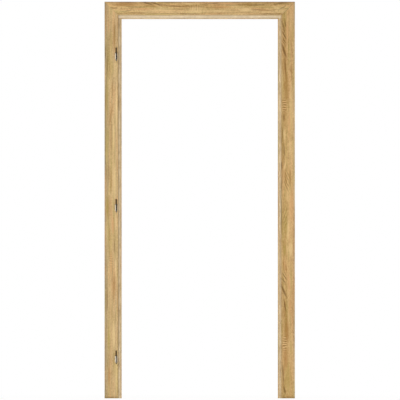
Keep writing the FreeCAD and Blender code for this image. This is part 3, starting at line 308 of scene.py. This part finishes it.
dress(oak_foil(
    "oak_foil_casing_lock_side", "side",
    # The light tone at 18 mm and the dark one at 22 mm are painted highlight and painted shade on the rounded
    # inner edge. The light tone at 88 mm is a painted highlight on the rounded outer edge.
    [(18, "#DCBC88"), (22, "#AE8A56"), (30, "#C29B65"), (42, "#C29D63"), (52, "#CAA36C"), (66, "#D2AB76"),
     (76, "#CEA774"), (82, "#C0A079"), (88, "#E4D0AC")],
    CASING_WRAP, "fibreboard", 8.4, 0.85, joints=(0.6, 0.6),
    marks={
        "brown": [(36, 1800, 12, 180, 0, 0.40), (44, 1600, 17, 95, 0, 0.50), (33, 1622, 6, 32, 0, 0.45),
                  (39, 1700, 8, 80, 4, 0.45), (40, 1140, 6, 56, 3, 0.60), (63, 1140, 7, 60, 0, 0.60),
                  (28, 692, 5, 46, 3, 0.60), (43, 674, 4, 26, 8, 0.60), (44, 350, 17, 70, 0, 0.60),
                  (37, 450, 9, 70, 2, 0.45), (36, 1490, 12, 80, 0, 0.35), (68, 1860, 4, 90, 0, 0.40),
                  (70, 1700, 3, 60, 0, 0.40), (40, 212, 17, 75, 0, 0.42),
                  (82, 560, 4, 120, 0, 0.35)],
        "dark": [(31, 1803, 7, 46, 18, 0.68), (28, 1925, 5, 38, 12, 0.58), (38, 1943, 4, 22, 10, 0.55),
                 (33, 1885, 5, 28, 25, 0.60), (27, 1858, 3, 15, 35, 0.50), (34, 1850, 3, 15, 35, 0.50),
                 (38, 1720, 5, 60, 3, 0.40), (30, 557, 7, 46, 23, 0.68), (36, 480, 5, 42, 10, 0.60),
                 (24, 615, 3, 20, 35, 0.55), (31, 606, 3, 20, 35, 0.60), (37, 628, 3, 18, 32, 0.50),
                 (28, 642, 3, 16, 32, 0.45), (22, 1365, 3, 50, -3, 0.55), (33, 1285, 5, 42, 6, 0.45),
                 (20, 1205, 4, 30, 0, 0.65), (20, 1110, 3, 70, 0, 0.45), (19, 960, 3, 110, 0, 0.40),
                 (30, 1455, 6, 24, 0, 0.45), (26, 130, 4, 70, 3, 0.60),
                 # The last dark mark, across the foot, is painted shade where the casing stands on the floor.
                 (35, 42, 6, 26, 12, 0.60), (53, -3, 60, 17, 0, 0.45)],
        "rosy": [(70, 1000, 12, 110, 0, 0.36), (62, 1420, 10, 90, 0, 0.30), (50, 1900, 7, 60, 0, 0.30),
                 (56, 600, 10, 70, 4, 0.35), (62, 480, 8, 60, 0, 0.40), (42, 200, 8, 60, 0, 0.25)],
        "olive": [(42, 930, 14, 100, 0, 0.30), (34, 770, 9, 40, 0, 0.45),
                  (54, 110, 22, 100, 0, 0.35), (78, 1900, 6, 80, 0, 0.30)],
        "pale": [(34, 1365, 6, 42, 3, 0.58), (36, 1205, 6, 30, -10, 0.52), (70, 1500, 10, 170, 0, 0.40),
                 (66, 770, 14, 46, 0, 0.45), (48, 1050, 6, 40, 0, 0.45), (52, 870, 7, 70, 0, 0.45),
                 (22, 1650, 3, 60, 0, 0.50), (62, 1300, 8, 60, 0, 0.40)],
        "flecks": [(34, 625, 14, 40, 32, 0.45), (30, 1870, 12, 60, 30, 0.40), (46, 1125, 22, 75, 22, 0.34),
                   (38, 945, 16, 65, -20, 0.30)],
        "sawn": [(33, 1520, 15, 44, 0, 0.70), (35, 285, 15, 50, 0, 0.75)],
    },
), "front_casing_lock_side")
dress(oak_foil(
    "oak_foil_casing_head", "head",
    # The near-white tone at 18 mm is a painted highlight on the rounded lower edge, the dark tone at 24 mm is
    # painted shade beside it, and the dark tone at 88 mm is painted shade on the rounded top edge.
    [(18, "#FFF0CC"), (20.5, "#C4A678"), (24, "#A28048"), (28, "#D6B47F"), (34, "#D9BA87"), (48, "#CBAA75"),
     (58, "#C8A56D"), (66, "#D0A970"), (76, "#D8AF76"), (82, "#BC9460"), (88, "#8E7048")],
    CASING_WRAP, "fibreboard", 5.7, 1.2, joints=(0.15, 0.6),
    marks={
        "brown": [(74, -390, 12, 80, 0, 0.62), (76, 0, 6, 90, 0, 0.12), (74, 240, 7, 90, 0, 0.34),
                  (58, 80, 4, 70, 0, 0.45), (34, 240, 4, 90, 0, 0.40), (32, -330, 5, 70, 0, 0.50),
                  (66, -250, 7, 60, 6, 0.45), (50, -130, 4, 60, 0, 0.35), (44, 330, 5, 50, 4, 0.40),
                  (30, 60, 4, 80, 0, 0.35)],
        "dark": [(80, -272, 5, 44, 16, 0.72), (77, -226, 4, 38, 20, 0.66), (70, -185, 3, 60, 8, 0.45),
                 (84, -380, 4, 70, 0, 0.45), (84, -150, 3, 60, 0, 0.45), (66, -120, 3, 50, 5, 0.42),
                 (78, 60, 4, 60, -4, 0.45), (70, 150, 3, 60, 3, 0.40), (84, 210, 3, 80, 0, 0.42),
                 (72, 300, 4, 60, -6, 0.42), (80, 420, 5, 50, -10, 0.42), (25, 350, 3, 60, 0, 0.42),
                 (62, -340, 3, 70, 2, 0.40), (26, -60, 3, 60, 0, 0.40), (40, -380, 3, 40, -8, 0.40),
                 (58, 430, 4, 30, -30, 0.45), (48, 290, 3, 40, 4, 0.35)],
        "rosy": [(60, 120, 8, 70, 0, 0.40), (52, -290, 7, 60, 0, 0.45), (78, 150, 5, 60, 0, 0.40)],
        "pale": [(46, -20, 22, 42, 0, 0.50), (46, 236, 12, 42, 0, 0.62), (44, -190, 7, 90, 0, 0.45),
                 (62, -212, 6, 30, 15, 0.55), (40, 110, 6, 60, 0, 0.45), (56, 400, 8, 30, 20, 0.50),
                 (64, 190, 4, 50, 0, 0.40), (78, -60, 4, 50, 0, 0.40)],
        "sawn": [(58, -20, 24, 36, 0, 0.35)],
    },
), "front_casing_head")


# Lining: three particleboard boards round the opening, stepped at the front for the leaf's edge and the seal.
# The same foil covers the reveal, the stop face and the rear edge; the wall side stays bare board.
STOP_DEPTH = 25.5
LINING_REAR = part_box("lining_head")[1].y / MM - FACE
LINING_WRAP = [("outward", 0, 1), ("depth", STOP_DEPTH, 1), ("depth", LINING_REAR, -1)]
LINING_TONES = [(0, "#C9AC7E"), (8, "#CDB082"), (18, "#C4A677"), (28, "#BC9C6C")]
for name, board, seed in (("lining_hinge_side", "side", 12.3), ("lining_lock_side", "side", 17.9),
                          ("lining_head", "head", 21.2)):
    dress(oak_foil("oak_foil_" + name, board, LINING_TONES, LINING_WRAP, "particleboard", seed), name)


# Rear casings: L-shaped fibreboard boards whose tongues slide in the lining's rear groove.
# They carry the same foil on the room side and are bare against the wall.
REAR_INNER, REAR_OUTER = (corner.x / MM - CLEAR_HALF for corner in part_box("rear_casing_lock_side"))
REAR_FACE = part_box("rear_casing_head")[1].y / MM - FACE
REAR_WRAP = [("depth", REAR_FACE, -1), ("outward", REAR_INNER, 1), ("outward", REAR_OUTER, -1)]
REAR_TONES = [(12, "#C2A474"), (20, "#CBAD7E"), (50, "#C8A97A"), (74, "#BE9F6F"), (83, "#B1976A")]
for name, board, seed in (("rear_casing_hinge_side", "side", 31.3), ("rear_casing_lock_side", "side", 37.9),
                          ("rear_casing_head", "head", 41.2)):
    dress(oak_foil("oak_foil_" + name, board, REAR_TONES, REAR_WRAP, "fibreboard", seed), name)


# Splines: strips of plywood, 16 by 4 mm, glued between casing and lining.
# Veneers 1.1 mm thick show on their long edges as light and dark layers, with grain 4 by 17 mm.
def per_metre(*sizes):
    """The scale of a Mapping node in metres for figures of these sizes in millimetres."""
    return [1 / (size * MM) for size in sizes]


material, tree, surface = new_material("birch_plywood")
place = add(tree, "ShaderNodeTexCoord", {}, output="Object")
grain_place = add(tree, "ShaderNodeMapping", {"Vector": place, "Scale": per_metre(1.1111, 3.8462, 16.667)})
grain = add(tree, "ShaderNodeTexNoise",
            {"Vector": grain_place, "Scale": 1.0, "Detail": 4.0, "Roughness": 0.6})
colour = add(tree, "ShaderNodeValToRGB", {"Fac": grain}, stops=[(0.35, "#B8935F"), (0.65, "#DFC79C")])
tree.links.new(colour, surface.inputs["Base Color"])
surface.inputs["Roughness"].default_value = 0.7
dress(material, "spline_hinge_side", "spline_lock_side", "spline_head")


# Dowels: turned beech pins, 8 mm thick, pressed and glued into both boards.
# Beech is even and pinkish, with short dark flecks along the grain, 0.7 mm wide and 7 mm long.
material, tree, surface = new_material("turned_beech")
place = add(tree, "ShaderNodeTexCoord", {}, output="Object")
fleck_place = add(tree, "ShaderNodeMapping", {"Vector": place, "Scale": per_metre(7.1429, 0.71429, 0.71429)})
flecks = add(tree, "ShaderNodeTexNoise",
             {"Vector": fleck_place, "Scale": 1.0, "Detail": 3.0, "Roughness": 0.6})
colour = add(tree, "ShaderNodeValToRGB", {"Fac": flecks}, stops=[(0.35, "#B98A5E"), (0.62, "#DDB88C")])
tree.links.new(colour, surface.inputs["Base Color"])
surface.inputs["Roughness"].default_value = 0.6
dress(material, "corner_dowels", "mitre_dowels")


# Cams: die-cast zinc housings, 15 mm across, dropped into the head board's top face.
# Cast zinc is grey, dull and grainy. Its grain is drawn 0.67 mm wide, coarser than real, so that it shows.
material, tree, surface = new_material("die_cast_zinc")
place = add(tree, "ShaderNodeTexCoord", {}, output="Object")
grain_place = add(tree, "ShaderNodeMapping", {"Vector": place, "Scale": per_metre(0.66667, 0.66667, 0.66667)})
grain = add(tree, "ShaderNodeTexNoise", {"Vector": grain_place, "Scale": 1.0, "Detail": 3.0})
colour = add(tree, "ShaderNodeValToRGB", {"Fac": grain}, stops=[(0.35, "#85878A"), (0.65, "#A9ABAD")])
rough = add(tree, "ShaderNodeMapRange", {"Value": grain, "To Min": 0.42, "To Max": 0.62})
tree.links.new(colour, surface.inputs["Base Color"])
tree.links.new(rough, surface.inputs["Roughness"])
surface.inputs["Metallic"].default_value = 1.0
dress(material, "corner_cams")


# Zinc-plated steel: pockets, brackets, bolts and grub screws, pressed or headed and then plated.
# The plating is bright and slightly blue, with clouds about 6 mm across.
HINGES = ("bottom", "middle", "top")
zinc_plate, tree, surface = new_material("zinc_plated_steel")
place = add(tree, "ShaderNodeTexCoord", {}, output="Object")
cloud_place = add(tree, "ShaderNodeMapping", {"Vector": place, "Scale": per_metre(6.25, 6.25, 6.25)})
clouds = add(tree, "ShaderNodeTexNoise",
             {"Vector": cloud_place, "Scale": 1.0, "Detail": 4.0, "Roughness": 0.6})
colour = add(tree, "ShaderNodeValToRGB", {"Fac": clouds}, stops=[(0.3, "#8E9399"), (0.7, "#B9BEC2")])
rough = add(tree, "ShaderNodeMapRange",
            {"Value": clouds, "From Min": 0.3, "From Max": 0.7, "To Min": 0.34, "To Max": 0.48})
tree.links.new(colour, surface.inputs["Base Color"])
tree.links.new(rough, surface.inputs["Roughness"])
surface.inputs["Metallic"].default_value = 1.0
dress(zinc_plate, *("hinge_pocket_" + h for h in HINGES), "hinge_clamp_screws", "corner_bolts",
      "rear_corner_bracket_hinge_side", "rear_corner_bracket_lock_side")


# Wood screws: 22 in three sizes, headed from wire with a cross recess, thread rolled, then zinc plated.
# Each is driven flush: 12 hold the hinge pockets, 8 the rear corner brackets and 2 the strike plate.
def wood_screw(size, head, length):
    """A screw pointing down with its head's face at the origin, in millimetres: size is the thread's."""
    # The head's face is a grid of 5 by 5 unit cells. Its rim becomes round and its middle cells the cross.
    screw = bmesh.new()
    bmesh.ops.create_grid(screw, x_segments=5, y_segments=5, size=2.5)
    cross = [face for face in screw.faces
             if min(map(abs, face.calc_center_median().xy)) < 0.1 and face.calc_center_median().length < 1.1]
    arm, rib, recess, taper = 0.29 * head, 0.07 * head, 0.26 * head, 0.55
    steps = (-arm, -rib, rib, arm)
    for vert in screw.verts:
        if max(abs(vert.co.x), abs(vert.co.y)) > 2.4:
            vert.co = vert.co.normalized() * head / 2
        else:
            vert.co = Vector((steps[round(vert.co.x + 1.5)], steps[round(vert.co.y + 1.5)], 0))
    floor = bmesh.ops.extrude_face_region(screw, geom=cross)["geom"]
    for vert in (part for part in floor if isinstance(part, bmesh.types.BMVert)):
        vert.co = Vector((vert.co.x * taper, vert.co.y * taper, -recess))

    # The rim goes down round the countersink, the neck, the core and the tip.
    core, cone = 0.34 * size, (head - size) / 2
    rings = ((size / 2, -cone), (core * 1.12, -cone - 0.5), (core, 0.6 * size - length), (0.05, -length))
    edge = [part for part in screw.edges if part.is_boundary]
    for radius, level in rings:
        grown = bmesh.ops.extrude_edge_only(screw, edges=edge)["geom"]
        for vert in (part for part in grown if isinstance(part, bmesh.types.BMVert)):
            around = Vector((vert.co.x, vert.co.y, 0)).normalized() * radius
            vert.co = Vector((around.x, around.y, level))
        edge = [part for part in grown if isinstance(part, bmesh.types.BMEdge) and part.is_boundary]
    bmesh.ops.holes_fill(screw, edges=edge)

    # The thread is a ridge of two sides, spun down the core.
    pitch, start = 0.42 * size, -0.35 * length
    ridge = [screw.verts.new((radius, 0, start - drop * pitch))
             for radius, drop in ((core * 0.95, 0), (size / 2, 0.25), (core * 0.95, 0.5))]
    sides = [screw.edges.new(pair) for pair in (ridge[:2], ridge[1:])]
    turns = int((length + start - 0.8 * size) / pitch)
    bmesh.ops.spin(screw, geom=[*ridge, *sides], cent=(0, 0, 0), axis=(0, 0, 1), angle=math.tau * turns,
                   steps=10 * turns, dvec=(0, 0, -pitch / 10))
    bmesh.ops.recalc_face_normals(screw, faces=screw.faces)
    bmesh.ops.scale(screw, vec=(MM, MM, MM), verts=screw.verts)
    mesh = bpy.data.meshes.new("screw")
    screw.to_mesh(mesh)
    screw.free()
    return mesh


def mesh_object(bm, name):
    """Makes a bmesh an object of the scene, and frees it."""
    mesh = bpy.data.meshes.new(name)
    bm.to_mesh(mesh)
    bm.free()
    made = bpy.data.objects.new(name, mesh)
    bpy.context.scene.collection.objects.link(made)
    return made


# A pocket is screwed 11 mm from both ends, at two depths behind the casing's face.
pocket_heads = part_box("hinge_pocket_screws")[0].x
pocket_spots = [(pocket_heads, (FACE + depth) * MM, z)
                for low, high in (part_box("hinge_pocket_" + h) for h in HINGES)
                for z in (low.z + 11 * MM, high.z - 11 * MM)
                for depth in (42, 68)]
# The strike plate's screws stand 152 mm apart on its middle line.
strike_low, strike_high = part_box("strike_plate")
strike_middle = (strike_low + strike_high) / 2
strike_spots = [(strike_low.x, strike_middle.y, strike_middle.z + rise * MM) for rise in (-76, 76)]
# A bracket's two arms are each screwed 8 mm from the outer edge, 27 and 49 mm from the corner.
bracket_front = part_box("rear_corner_bracket_lock_side")[0].y
bracket_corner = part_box("rear_corner_bracket_lock_side")[1]
bracket_spots = [(side * (bracket_corner.x - inward * MM), bracket_front, bracket_corner.z - down * MM)
                 for side in (-1, 1)
                 for inward, down in ((8, 27), (8, 49), (27, 8), (49, 8))]
for node, body, size, head, length, drive, spots in (
    ("hinge_pocket_screws", "frame", 4, 7.5, 16, (1, 0, 0), pocket_spots),
    ("strike_plate_screws", "frame", 4, 8, 30, (1, 0, 0), strike_spots),
    ("rear_bracket_screws", "rear_casing", 3.5, 6, 12, (0, 1, 0), bracket_spots),
):
    single = wood_screw(size, head, length)
    turn = Vector((0, 0, -1)).rotation_difference(Vector(drive)).to_matrix().to_4x4()
    bm = bmesh.new()
    for spot in spots:
        before = len(bm.verts)
        bm.from_mesh(single)
        bm.verts.ensure_lookup_table()
        bmesh.ops.transform(bm, matrix=Matrix.Translation(spot) @ turn, verts=bm.verts[before:])
    screws = mesh_object(bm, node + "_cross")
    screws.data.materials.append(zinc_plate)
    screws.data.shade_smooth()
    screws.data.set_sharp_from_angle(angle=math.radians(35))
    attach(screws, body)
    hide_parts(node)


# Seal: a hollow bulb of soft elastomer, pressed by its barbed stem into the stop face's groove.
# It is extruded in beige. Drawing lines 1.7 mm apart run along it, and talc and wax leave its soft sheen
# cloudy every few centimetres. The head's length is paler, which is a painted highlight.
material, tree, surface = new_material("beige_elastomer")
place = add(tree, "ShaderNodeTexCoord", {}, output="Object")
draw_place = add(tree, "ShaderNodeMapping", {"Vector": place, "Scale": per_metre(33.333, 1.6667, 50)})
draw = add(tree, "ShaderNodeTexNoise",
           {"Vector": draw_place, "Scale": 1.0, "Detail": 4.0, "Roughness": 0.72})
colour = add(tree, "ShaderNodeValToRGB", {"Fac": draw}, stops=[(0.3, "#AE9670"), (0.7, "#E0CEAB")])
height = add(tree, "ShaderNodeSeparateXYZ", {"Vector": place}, output="Z")
head_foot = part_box("seal_head")[0].z
# Painted highlight: the seal turns paler upward from 4 mm under the head length's underside, to 0.42 of the
# pale tone.
head_seal_highlight = add(tree, "ShaderNodeMapRange", {"Value": height, "From Min": head_foot - 4 * MM,
                                         "From Max": head_foot + 1 * MM, "To Min": 0.0, "To Max": 0.42})
colour = add(tree, "ShaderNodeMix", {"Factor": head_seal_highlight, "A": colour, "B": linear("#F3E6CE")}, output="Result",
             data_type="RGBA")
rough = add(tree, "ShaderNodeMapRange",
            {"Value": draw, "From Min": 0.3, "From Max": 0.7, "To Min": 0.48, "To Max": 0.62})
tree.links.new(colour, surface.inputs["Base Color"])
tree.links.new(rough, surface.inputs["Roughness"])
surface.inputs["Specular IOR Level"].default_value = 0.4
dress(material, "seal_hinge_side", "seal_lock_side", "seal_head")


# Hinge barrels: forged steel, turned to 15 mm and plated in satin nickel; the lug goes back into the pocket.
# Satin nickel is warm grey with turning marks round the barrel, which are 0.4 mm apart, coarser than real.
# The strike plate has the same plating.
material, tree, surface = new_material("satin_nickel_plate")
place = add(tree, "ShaderNodeTexCoord", {}, output="Object")
turn_place = add(tree, "ShaderNodeMapping", {"Vector": place, "Scale": per_metre(16.667, 16.667, 0.4)})
turning = add(tree, "ShaderNodeTexNoise",
              {"Vector": turn_place, "Scale": 1.0, "Detail": 3.0, "Roughness": 0.6})
colour = add(tree, "ShaderNodeValToRGB", {"Fac": turning}, stops=[(0.3, "#CABDA9"), (0.7, "#E0D4C0")])
rough = add(tree, "ShaderNodeMapRange",
            {"Value": turning, "From Min": 0.3, "From Max": 0.7, "To Min": 0.18, "To Max": 0.26})
tree.links.new(colour, surface.inputs["Base Color"])
tree.links.new(rough, surface.inputs["Roughness"])
bump = add(tree, "ShaderNodeBump", {"Strength": 0.15, "Distance": 0.1 * MM, "Height": turning})
tree.links.new(bump, surface.inputs["Normal"])
surface.inputs["Metallic"].default_value = 1.0
dress(material, "strike_plate", *("hinge_knuckle_" + h for h in HINGES))


# Hinge pins: hardened steel pressed into the barrels, 7 mm where the leaf's half turns.
# They are ground, then blackened in hot oil, which leaves a thin brown skin that still mirrors, in clouds
# 3 mm wide and 8 mm long.
material, tree, surface = new_material("oil_blackened_steel")
place = add(tree, "ShaderNodeTexCoord", {}, output="Object")
oil_place = add(tree, "ShaderNodeMapping", {"Vector": place, "Scale": per_metre(3.3333, 3.3333, 8.3333)})
oil = add(tree, "ShaderNodeTexNoise", {"Vector": oil_place, "Scale": 1.0, "Detail": 3.0})
colour = add(tree, "ShaderNodeValToRGB", {"Fac": oil}, stops=[(0.3, "#725A38"), (0.7, "#8E734A")])
rough = add(tree, "ShaderNodeMapRange",
            {"Value": oil, "From Min": 0.3, "From Max": 0.7, "To Min": 0.16, "To Max": 0.26})
tree.links.new(colour, surface.inputs["Base Color"])
tree.links.new(rough, surface.inputs["Roughness"])
surface.inputs["Metallic"].default_value = 1.0
dress(material, *("hinge_pin_" + h for h in HINGES))


# Thrust washers: black nylon rings that lie loose on the barrels, 1.5 mm thick.
# They are moulded, smooth with a faint haze in spots 1.4 mm across.
material, tree, surface = new_material("moulded_black_nylon")
place = add(tree, "ShaderNodeTexCoord", {}, output="Object")
haze_place = add(tree, "ShaderNodeMapping", {"Vector": place, "Scale": per_metre(1.4286, 1.4286, 1.4286)})
haze = add(tree, "ShaderNodeTexNoise", {"Vector": haze_place, "Scale": 1.0, "Detail": 2.0})
colour = add(tree, "ShaderNodeValToRGB", {"Fac": haze}, stops=[(0.3, "#141312"), (0.7, "#24211F")])
rough = add(tree, "ShaderNodeMapRange", {"Value": haze, "To Min": 0.34, "To Max": 0.5})
tree.links.new(colour, surface.inputs["Base Color"])
tree.links.new(rough, surface.inputs["Roughness"])
dress(material, *("hinge_washer_" + h for h in HINGES))


# Studio: a pale floor that is white to the camera and keeps a faint shadow, and a white surround.
# A soft lamp stands low in front, slightly to the left, with weaker ones at the sides and one behind.
# The floor lies half a millimetre under the feet, and the lengths here are in metres.
FLOOR_HALF, FLOOR_GAP = 20, 0.5 * MM
bm = bmesh.new()
bmesh.ops.create_grid(bm, x_segments=1, y_segments=1, size=FLOOR_HALF)
floor = mesh_object(bm, "floor")
floor.location.z = -FLOOR_GAP


def seen_directly(tree):
    """1 for what the camera, a reflection or a transparent surface looks at, and 0 for plain lighting."""
    rays = add(tree, "ShaderNodeLightPath", {}).node.outputs
    mirrored = add(tree, "ShaderNodeMath", {0: rays["Is Camera Ray"], 1: rays["Is Glossy Ray"]},
                   operation="MAXIMUM")
    return add(tree, "ShaderNodeMath", {0: mirrored, 1: rays["Is Transmission Ray"]}, operation="MAXIMUM")


# Near the feet a little of the lit floor shows through the white, which keeps a faint shadow.
material, tree, surface = new_material("pale_floor")
surface.inputs["Base Color"].default_value = linear("#E6E6E6")
surface.inputs["Roughness"].default_value = 0.9
white = add(tree, "ShaderNodeEmission", {"Strength": 1.0})
place = add(tree, "ShaderNodeTexCoord", {}, output="Object")
from_feet = add(tree, "ShaderNodeVectorMath", {0: place}, output="Value", operation="LENGTH")
whiteness = add(tree, "ShaderNodeMapRange",
                {"Value": from_feet, "From Min": 0.6, "From Max": 2.2, "To Min": 0.965, "To Max": 1.0})
share = add(tree, "ShaderNodeMath", {0: seen_directly(tree), 1: whiteness}, operation="MULTIPLY")
mixed = add(tree, "ShaderNodeMixShader", {0: share, 1: surface.outputs["BSDF"], 2: white})
tree.links.new(mixed, tree.nodes["Material Output"].inputs["Surface"])
floor.data.materials.append(material)

# The surround is white where it is looked at, and lights the frame at 0.42 of that.
world = bpy.data.worlds.new("studio")
world.use_nodes = True
bpy.context.scene.world = world
tree = world.node_tree
surround = tree.nodes["Background"]
surround.inputs["Color"].default_value = linear("#FFFFFF")
level = add(tree, "ShaderNodeMapRange", {"Value": seen_directly(tree), "To Min": 0.42, "To Max": 1.0})
tree.links.new(level, surround.inputs["Strength"])

LAMPS_AIM = Vector((0, 0, 1.03))
for name, spot, size, power in (
    ("front_lamp", (-0.75, -4.5, 0.6), 1.3, 107),
    ("right_lamp", (5.0, -1.0, 1.8), 2.0, 45),
    ("left_lamp", (-5.0, -1.0, 1.8), 2.0, 45),
    ("rear_lamp", (0.8, 5.0, 1.8), 2.0, 130),
):
    lamp = bpy.data.lights.new(name, "AREA")
    lamp.shape, lamp.size, lamp.energy = "SQUARE", size, power
    holder = bpy.data.objects.new(name, lamp)
    bpy.context.scene.collection.objects.link(holder)
    holder.location = spot
    holder.visible_camera = holder.visible_glossy = False
    holder.rotation_euler = (LAMPS_AIM - Vector(spot)).to_track_quat("-Z", "Y").to_euler()

# A dark flag to the right of the camera, which only glossy surfaces mirror, darkens one half of each barrel.
FLAG_WIDTH, FLAG_HEIGHT, FLAG_TURN = 7.32, 8.0, 51.1
FLAG_PLACE = (1.2, -2.35, 1.2)
bm = bmesh.new()
bmesh.ops.create_grid(bm, x_segments=1, y_segments=1, size=0.5)
bmesh.ops.scale(bm, vec=(FLAG_WIDTH, FLAG_HEIGHT, 1.0), verts=bm.verts)
for turn, axis in ((90, "X"), (FLAG_TURN, "Z")):
    bmesh.ops.rotate(bm, cent=(0, 0, 0), matrix=Matrix.Rotation(math.radians(turn), 3, axis), verts=bm.verts)
bmesh.ops.translate(bm, vec=FLAG_PLACE, verts=bm.verts)
flag = mesh_object(bm, "dark_flag")
flag.visible_camera = flag.visible_diffuse = flag.visible_shadow = False
material, tree, surface = new_material("dark_cloth")
surface.inputs["Base Color"].default_value = linear("#1C1308")
surface.inputs["Roughness"].default_value = 1.0
flag.data.materials.append(material)

# The photograph looks squarely at the frame from far away, so the lens is very long.
# One pixel of its 400 is 5.184 mm at the casing's face, and the frame stands just beside the middle.
PHOTO_WIDTH, PIXEL = 400, 5.184 * MM
LENS, SENSOR = 1650, 36
FRAME_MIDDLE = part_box("front_casing_head")[1].z / 2
distance = PHOTO_WIDTH * PIXEL * LENS / SENSOR
camera_data = bpy.data.cameras.new("camera")
camera_data.lens, camera_data.sensor_width = LENS, SENSOR
camera_data.clip_end = 200
camera = bpy.data.objects.new("camera", camera_data)
bpy.context.scene.collection.objects.link(camera)
camera.location = (0.25 * PIXEL, FACE * MM - distance, FRAME_MIDDLE + 0.05 * PIXEL)
camera.rotation_euler = (math.radians(90), 0, 0)
bpy.context.scene.camera = camera
bpy.context.scene.view_settings.view_transform = "Standard"
